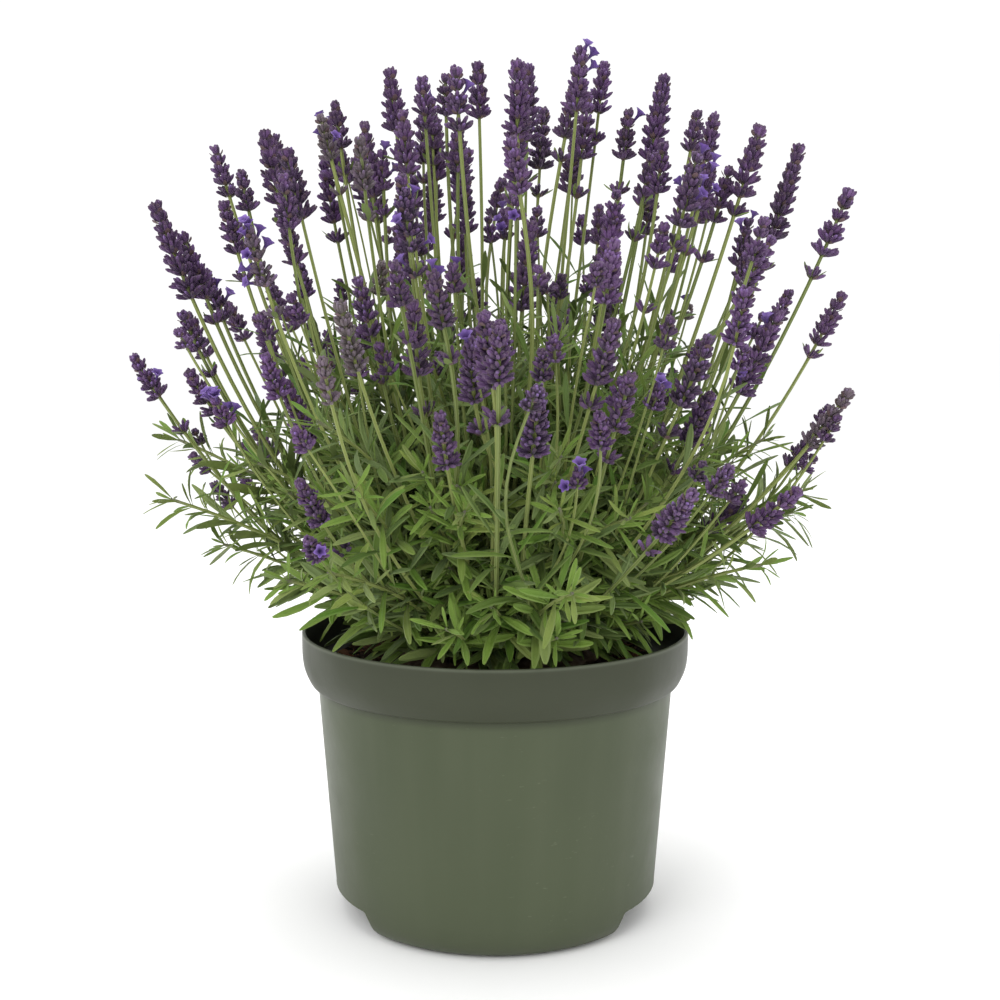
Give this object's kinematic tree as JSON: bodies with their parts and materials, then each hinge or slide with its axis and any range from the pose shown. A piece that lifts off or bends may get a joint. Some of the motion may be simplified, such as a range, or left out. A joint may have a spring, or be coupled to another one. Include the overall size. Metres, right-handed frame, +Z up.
{
  "type": "potted lavender",
  "caption": "Lavender plant in bloom, growing from potting soil in a green round plastic nursery pot with a deep rim band and a raised, notched foot.",
  "frame": {"origin": "on the ground, on the pot's vertical axis, in the middle of the ring its feet stand on", "axes": "+Z up along the pot's axis, -Y towards the front, with the pot's front foot on -Y, +X to the right as seen from the front"},
  "size_m": [0.3515, 0.3471, 0.4181],
  "materials": {
    "pot_plastic": "satin moulded olive-green polypropylene, lightly scuffed",
    "potting_mix": "damp dark brown peat and bark compost, crumbly",
    "old_wood": "grey-brown flaking bark on old lavender wood",
    "leaf_green": "matt green leaves and square stems with a fine pale felt",
    "calyx_violet": "dark violet felted calyces with a few open, paler violet flowers"
  },
  "bodies": {
    "root": {"nursery_pot": "pot_plastic", "potting_soil": "potting_mix", "woody_crown": "old_wood", "leafy_shoot_01": "leaf_green", "leafy_shoot_02": "leaf_green", "leafy_shoot_03": "leaf_green", "leafy_shoot_04": "leaf_green", "leafy_shoot_05": "leaf_green", "leafy_shoot_06": "leaf_green", "leafy_shoot_07": "leaf_green", "leafy_shoot_08": "leaf_green", "leafy_shoot_09": "leaf_green", "leafy_shoot_10": "leaf_green", "leafy_shoot_11": "leaf_green", "leafy_shoot_12": "leaf_green", "flower_stalk_01": "calyx_violet", "flower_stalk_02": "calyx_violet", "flower_stalk_03": "calyx_violet", "flower_stalk_04": "calyx_violet", "flower_stalk_05": "calyx_violet", "flower_stalk_06": "calyx_violet", "flower_stalk_07": "calyx_violet", "flower_stalk_08": "calyx_violet", "flower_stalk_09": "calyx_violet", "flower_stalk_10": "calyx_violet", "flower_stalk_11": "calyx_violet", "flower_stalk_12": "calyx_violet", "flower_stalk_13": "calyx_violet", "flower_stalk_14": "calyx_violet", "flower_stalk_15": "calyx_violet", "flower_stalk_16": "calyx_violet", "flower_stalk_17": "calyx_violet", "flower_stalk_18": "calyx_violet", "flower_stalk_19": "calyx_violet", "flower_stalk_20": "calyx_violet", "flower_stalk_21": "calyx_violet", "flower_stalk_22": "calyx_violet", "flower_stalk_23": "calyx_violet", "flower_stalk_24": "calyx_violet", "flower_stalk_25": "calyx_violet", "flower_stalk_26": "calyx_violet", "flower_stalk_27": "calyx_violet", "flower_stalk_28": "calyx_violet", "flower_stalk_29": "calyx_violet", "flower_stalk_30": "calyx_violet", "flower_stalk_31": "calyx_violet", "flower_stalk_32": "calyx_violet", "flower_stalk_33": "calyx_violet", "flower_stalk_34": "calyx_violet", "flower_stalk_35": "calyx_violet", "flower_stalk_36": "calyx_violet", "flower_stalk_37": "calyx_violet", "flower_stalk_38": "calyx_violet", "flower_stalk_39": "calyx_violet", "flower_stalk_40": "calyx_violet", "flower_stalk_41": "calyx_violet", "flower_stalk_42": "calyx_violet", "flower_stalk_43": "calyx_violet", "flower_stalk_44": "calyx_violet"}
  },
  "joints": []
}
